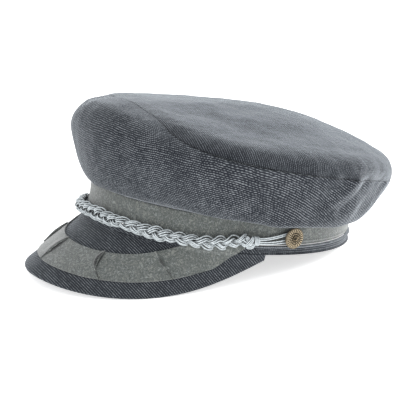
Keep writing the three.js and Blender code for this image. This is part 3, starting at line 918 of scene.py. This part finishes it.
# A tube along a path, closed at both ends. Its UV map runs along and round it, and its shade mask is 1
# where it faces `away`, -1 where it faces back; the cord material paints shade where the mask is low.
def tube(name, points, width, sides, away, ends=1.0):
    verts, faces, marks, crests, travelled = [], [], [], [], 0.0
    side = None
    for i, point in enumerate(points):
        tangent = (points[min(i + 1, len(points) - 1)] - points[max(i - 1, 0)]).normalized()
        wanted = away[i] - tangent * away[i].dot(tangent)
        side = wanted if side is None else wanted + side * 0.35
        side = (side - tangent * side.dot(tangent)).normalized()
        other = tangent.cross(side)
        radius = width / 2 * (ends if i in (0, len(points) - 1) else 1.0)
        for k in range(sides):
            angle = 2 * math.pi * k / sides
            verts.append(point + (side * math.cos(angle) + other * math.sin(angle)) * radius)
            crests.append(math.cos(angle))
        if i:
            travelled += (point - points[i - 1]).length
        marks.append(travelled)
    for i in range(len(points) - 1):
        for k in range(sides):
            a, b = i * sides + k, i * sides + (k + 1) % sides
            faces.append((a, b, b + sides, a + sides))
    faces.append(tuple(reversed(range(sides))))
    faces.append(tuple(range(len(verts) - sides, len(verts))))
    mesh = bpy.data.meshes.new(name)
    mesh.from_pydata([tuple(p) for p in toRow([tuple(v) for v in verts])], [], faces)
    layer = mesh.uv_layers.new(name="cloth")
    for face in mesh.polygons:
        ks = [mesh.loops[j].vertex_index % sides for j in face.loop_indices]
        wraps = len(face.vertices) == 4 and max(ks) - min(ks) > 1
        for j, k in zip(face.loop_indices, ks):
            turned = (k + sides if wraps and k == 0 else k) / sides
            layer.data[j].uv = (marks[mesh.loops[j].vertex_index // sides] * mm, turned)
    obj = newObject(name, mesh)
    markPoints(obj, "crest", crests)
    return obj


def makeStrand(index):
    steps = plaitTurns * plait["stepsPerPitch"]
    middle = []
    for i in range(steps + 1):
        turn = lerp(-plait["endTurn"], plait["endTurn"], i / steps)
        phase = 2 * math.pi * i / plait["stepsPerPitch"] + 2 * math.pi * index / 3
        phase += 0.5 * noise.noise(Vector((i * 0.035, 3.1, 0.5)))
        sway = plait["sway"] * (1.04 + 0.42 * noise.noise(Vector((i * 0.06, index * 7.1, 0.5))))
        sway *= math.sin(phase) - 0.1 * math.sin(3 * phase)
        place = plaitPlace(turn, plait["lift"] * math.sin(2 * phase), sway)
        middle.append((turn, phase, place))
    cords = []
    for k in range(plait["cords"]):
        offset = (k - (plait["cords"] - 1) / 2) * plait["cordGap"]
        path, facing = [], []
        for i, (turn, phase, place) in enumerate(middle):
            tangent = (middle[min(i + 1, steps)][2] - middle[max(i - 1, 0)][2]).normalized()
            out = Vector(bandOut(turn))
            across = out.cross(tangent).normalized()
            if across.z < 0:
                across = -across
            away = tangent.cross(across).normalized()
            if away.dot(out) < 0:
                away = -away
            roll = math.radians(plait["roll"]) * math.sin(phase)
            slide = across * math.cos(roll) - away * math.sin(roll)
            spread = 1 - plait["spread"] * math.cos(2 * phase - 0.3)
            loose = plait["loose"] * noise.noise(Vector((i * 0.09, k * 3.3, index * 5.7)))
            puff = plait["loose"] * noise.noise(Vector((i * 0.07, k * 9.3, index * 2.9)))
            lift = 0.17 * offset * offset - 0.2 + puff
            path.append(place + slide * (offset * spread + loose) - away * lift)
            facing.append(away)
        cords.append(tube(f"strand{index}cord{k}", path, plait["cordWidth"], plait["sides"], facing, 0.6))
    obj = joinAll(cords, f"plaitStrand{index + 1}")
    finishPiece(obj, silverCord, f"plait_strand_{index + 1}")


for strandIndex in range(3):
    makeStrand(strandIndex)

print("knots and leads")
knot = {
    "length": 10.5, "depth": 7.4, "cordWidth": 1.2, "sides": 8, "wraps": 4, "wrapLength": 4.6,
    "wrapHeight": 6.2, "coreHeight": 6.4, "coreDepth": 4.8, "lobeGap": 1.12,
}
# The plait's last lobes: each runs from one place to another, along and up, and bows outwards.
knotLobes = [
    {"from": (-5.6, -3.4), "to": (-0.4, 3.3), "bow": 1.6},
    {"from": (-5.4, 3.0), "to": (-0.8, -2.6), "bow": 0.6},
    {"from": (-4.2, -4.2), "to": (1.0, -2.2), "bow": 1.1},
]
lead = {"width": 1.15, "sides": 12, "count": 4, "gap": 1.2, "ends": (-3.3, -1.3, 2.9, 4.3), "sag": 1.1}
button = {
    "width": 15.5, "standOff": 3.6, "shank": 3.6, "turn": 97.3, "height": 12.5, "raise": 1.1, "spin": 24,
    "rays": 24, "rayFrom": 4.45, "rayLength": 2.4, "beads": 13, "beadRing": 3.35, "beadWidth": 0.84,
    "diamond": 2.7, "diamondFlat": 0.72,
}
# Steps of a button's front, each an inset and a lift: rolled rim, sunk ray ring, raised step, sunk middle.
buttonSteps = [
    (0.35, 0.45), (0.5, 0.3), (0.35, -0.1), (0.3, -0.55), (1.9, 0.3), (0.3, 0.4), (0.45, 0.1), (0.3, -0.5),
]


def turnAfter(turn, length):
    return turn + length / (plaitPlace(turn + 0.5) - plaitPlace(turn - 0.5)).length


knotStart = plait["endTurn"] - 0.6
knotTurn = turnAfter(knotStart, knot["length"] / 2)
leadStart = turnAfter(knotTurn, knot["length"] / 2)


def makeKnot(place, side):
    turn = side * knotTurn
    out = Vector(bandOut(turn))
    up = Vector((0, 0, 1))
    along = out.cross(up).normalized()
    if along.dot(plaitPlace(turn + side) - plaitPlace(turn)) < 0:
        along = -along
    deeper = (knot["depth"] - plait["strandWidth"]) / 2
    centre = plaitPlace(turn, deeper - plait["standOff"] + strip["gap"])
    # four upright wraps at the end that the thin cords leave
    path, facing = [], []
    steps = knot["wraps"] * 20
    for i in range(steps + 1):
        share = i / steps
        angle = 2 * math.pi * knot["wraps"] * share
        at = knot["length"] / 2 - knot["wrapLength"] + share * (knot["wrapLength"] - knot["cordWidth"] / 2)
        swell = 1 - 0.12 * share + 0.04 * math.sin(angle * 0.31 + 1)
        ring = (up * (knot["wrapHeight"] / 2 * swell * math.cos(angle))
                + out * (knot["depth"] * 0.36 * swell * math.sin(angle)))
        path.append(centre + along * (at + 0.5 * math.sin(angle + 0.6)) + ring)
        facing.append(ring.normalized())
    pieces = [tube(f"knot{place}Wraps", path, knot["cordWidth"], knot["sides"], facing, 0.5)]
    # each lobe is three cords side by side
    for number, lobe in enumerate(knotLobes):
        start, end = Vector(lobe["from"]), Vector(lobe["to"])
        run = (end - start).normalized()
        for k in (-1, 0, 1):
            path = []
            for i in range(19):
                share = i / 18
                rise = math.sin(math.pi * share)
                beside = k * knot["lobeGap"] * (0.7 + 0.4 * rise)
                flat = start.lerp(end, share) + Vector((-run.y, run.x)) * beside
                lift = knot["depth"] / 2 - 1.2 + lobe["bow"] * rise - 0.16 * k * k - 1.2 * (1 - rise) ** 3
                path.append(centre + along * flat.x + up * flat.y + out * lift)
            name = f"knot{place}Lobe{number}{k}"
            pieces.append(tube(name, path, knot["cordWidth"], knot["sides"], [out] * 19, 0.6))
    core = newShape(bpy.ops.mesh.primitive_uv_sphere_add, segments=24, ring_count=14, radius=1)
    core.data.uv_layers[0].name = "cloth"
    for vertex in core.data.vertices:
        x, y, z = vertex.co
        across = up * (knot["coreHeight"] / 2 * z) + out * (knot["coreDepth"] / 2 * y)
        spot = centre + along * (knot["length"] / 2 * x * 0.9) + across
        vertex.co = Vector(toRow(tuple(spot)))
    # the core is painted shade all over, filling the dark gap inside the knot
    markPoints(core, "crest", [-1.0] * len(core.data.vertices))
    pieces.append(core)
    obj = joinAll(pieces, f"plaitKnot{place}")
    onWhole(obj, bpy.ops.mesh.normals_make_consistent, inside=False)
    finishPiece(obj, silverCord, f"plait_knot_{place.lower()}")


def makeLead(place, side, index):
    fromMiddle = index - (lead["count"] - 1) / 2
    start = plaitPlace(side * leadStart)
    path, facing = [], []
    for i in range(29):
        along = i / 28
        turn = side * lerp(leadStart - 1, button["turn"] - 1, along)
        spread = lerp(fromMiddle * lead["gap"], lead["ends"][index], along ** 1.25)
        droop = lead["sag"] * math.sin(math.pi * along ** 0.8)
        out = lerp(plaitOut, strip["proud"] + lead["width"], math.sqrt(along))
        height = lerp(start.z, button["height"] + button["raise"], along) + spread - droop
        path.append(Vector(bandPlace(turn, out, height)))
        facing.append(Vector(bandOut(turn)))
    obj = tube(f"cordLead{place}{index + 1}", path, lead["width"], lead["sides"], facing)
    finishPiece(obj, silverCord, f"cord_lead_{place.lower()}_{index + 1}")


for place, side in (("Left", 1), ("Right", -1)):
    makeKnot(place, side)
    for leadIndex in range(lead["count"]):
        makeLead(place, side, leadIndex)

print("buttons")


# Says how far each point of a shape is rubbed bright.
def rubIt(obj, rubbed):
    markPoints(obj, "rubbed", [rubbed(vertex.co) for vertex in obj.data.vertices])
    return obj


# Copies of one small shape, each turned round the button's middle.
def ringOf(obj, count):
    copies = [obj]
    for i in range(1, count):
        copy = newObject(obj.name, obj.data.copy())
        copy.data.transform(Matrix.Rotation(2 * math.pi * i / count, 4, "Z"))
        copies.append(copy)
    return copies


# Steps a shape's front face inwards.
def stepFront(obj, steps):
    pick(obj)
    bpy.ops.object.mode_set(mode="EDIT")
    bpy.ops.mesh.select_mode(type="FACE")
    bpy.ops.mesh.select_all(action="DESELECT")
    bpy.ops.object.mode_set(mode="OBJECT")
    for face in obj.data.polygons:
        face.select = face.normal.z > 0.9
    bpy.ops.object.mode_set(mode="EDIT")
    for inset, lift in steps:
        bpy.ops.mesh.inset(thickness=inset, depth=0)
        bpy.ops.transform.translate(value=(0, 0, lift))
    bpy.ops.object.mode_set(mode="OBJECT")


def makeDisc(radius, base):
    disc = newShape(bpy.ops.mesh.primitive_cylinder_add, vertices=72, radius=radius, depth=0.7,
                    location=(0, 0, base + 0.35))
    stepFront(disc, buttonSteps)
    applyModifier(disc, "BEVEL", width=0.12, segments=2, limit_method="ANGLE", angle_limit=math.radians(20))
    return rubIt(disc, lambda spot: 0.3 if math.hypot(spot.x, spot.y) > radius - 1.2 else 0.1)


# A ray is narrow at its inner end and at its top, and slopes down outwards.
def makeRay(base):
    ray = newShape(bpy.ops.mesh.primitive_cube_add, size=1)
    for vertex in ray.data.vertices:
        x, y, z = vertex.co
        at = button["rayFrom"] + button["rayLength"] * (x + 0.5)
        wide = (0.5 + 0.4 * (x + 0.5)) * (0.55 if z > 0 else 1)
        vertex.co = Vector((at, wide * y, base + 1.25 + 0.9 * z - 0.12 * (at - 4.4)))
    return rubIt(ray, lambda spot: 1.0 if spot.z > base + 1.25 else 0.1)


def makeBead(base):
    bead = newShape(bpy.ops.mesh.primitive_ico_sphere_add, subdivisions=2, radius=button["beadWidth"] / 2,
                    location=(button["beadRing"], 0, base + 1.45))
    return rubIt(bead, lambda spot: 0.95 if spot.z > base + 1.5 else 0.2)


# A diamond frame round a dark hollow.
def makeDiamond(base):
    diamond = newShape(bpy.ops.mesh.primitive_cylinder_add, vertices=4, radius=button["diamond"],
                       depth=1.3, location=(0, 0, base + 1.75))
    stepFront(diamond, [(0.7, -0.9)])
    for vertex in diamond.data.vertices:
        vertex.co.y *= button["diamondFlat"]
    return rubIt(diamond, lambda spot: 1.0 if spot.z > base + 2.2 else 0.0)


def makeButton(place, side):
    base = button["standOff"]
    pieces = [makeDisc(button["width"] / 2, base)]
    pieces += ringOf(makeRay(base), button["rays"])
    pieces += ringOf(makeBead(base), button["beads"])
    pieces.append(makeDiamond(base))
    shank = newShape(bpy.ops.mesh.primitive_cylinder_add, vertices=24, radius=button["shank"] / 2,
                     depth=base, location=(0, 0, base / 2 + 0.15))
    pieces.append(rubIt(shank, lambda spot: 0.1))
    obj = joinAll(pieces, f"button{place}")
    turn = side * button["turn"]
    out, up = Vector(bandOut(turn)), Vector((0, 0, 1))
    across = up.cross(out)
    seat = Vector(bandPlace(turn, 0.0, button["height"] + button["raise"]))
    spin = Matrix.Rotation(math.radians(button["spin"]), 4, "Z")
    for vertex in obj.data.vertices:
        x, y, z = spin @ vertex.co
        vertex.co = Vector(toRow(tuple(seat + across * x + up * y + out * z)))
    obj.data.update()
    finishPiece(obj, agedBrassFinish, f"button_{place.lower()}", angle=35)


makeButton("Left", 1)
makeButton("Right", -1)

print("camera, floor and lights")
shot = {
    "turn": 60, "above": 13.121, "roll": 8.533, "distance": 1200, "lens": 142.74,
    "right": 13.895, "up": -17.277,
}
studio = {
    "sky": 1.18, "skyColour": (0.985, 0.99, 1.0, 1), "floor": 0.95, "floorGlow": 0.6, "floorSize": 14,
    "rearPower": 21, "rearSize": 0.8, "rearPlace": (0.15, 1.25, 0.65), "rearAim": (0, 0, 0.05),
}


def makeCamera():
    turn, above, roll = (math.radians(shot[key]) for key in ("turn", "above", "roll"))
    back = Vector((math.sin(turn) * math.cos(above), -math.cos(turn) * math.cos(above), math.sin(above)))
    level = Vector((math.cos(turn), math.sin(turn), 0))
    over = back.cross(level)
    right = level * math.cos(roll) + over * math.sin(roll)
    upward = over * math.cos(roll) - level * math.sin(roll)
    place = back * shot["distance"] - right * shot["right"] - upward * shot["up"]
    lens = bpy.data.cameras.new("camera")
    lens.lens = shot["lens"]
    lens.sensor_width = 36
    lens.clip_start, lens.clip_end = 0.05, 30
    camera = newObject("camera", lens)
    turned = Matrix((right, upward, back)).transposed().to_4x4()
    camera.matrix_world = rowFromCap @ Matrix.Translation(place * mm) @ turned
    bpy.context.scene.camera = camera


def makeRearLight():
    light = bpy.data.lights.new("rearLight", "AREA")
    light.shape = "DISK"
    light.size = studio["rearSize"]
    light.energy = studio["rearPower"]
    obj = newObject("rearLight", light)
    place = Vector(studio["rearPlace"])
    obj.location = place
    obj.rotation_euler = (Vector(studio["rearAim"]) - place).to_track_quat("-Z", "Y").to_euler()


def makeStage():
    floor = nameIt(newShape(bpy.ops.mesh.primitive_plane_add, size=studio["floorSize"]), "floor")
    material, tree, shader = newMaterial("paleFloor")
    setSockets(shader, {
        "Base Color": (studio["floor"],) * 3 + (1,), "Roughness": 0.9, "Specular IOR Level": 0.1,
        "Emission Color": (1, 1, 1, 1), "Emission Strength": studio["floorGlow"],
    })
    floor.data.materials.append(material)
    floor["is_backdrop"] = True
    world = bpy.data.worlds.new("studio")
    bpy.context.scene.world = world
    world.use_nodes = True
    background = world.node_tree.nodes["Background"]
    background.inputs[0].default_value = studio["skyColour"]
    background.inputs[1].default_value = studio["sky"]
    bpy.context.scene.view_settings.view_transform = "Standard"
    bpy.context.scene.view_settings.look = "None"


makeCamera()
makeStage()
makeRearLight()

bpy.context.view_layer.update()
meshes = [obj.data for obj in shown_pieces() if obj.type == "MESH"]
total = sum(len(face.vertices) - 2 for mesh in meshes for face in mesh.polygons)
print("pieces", len(meshes), "triangles", total)
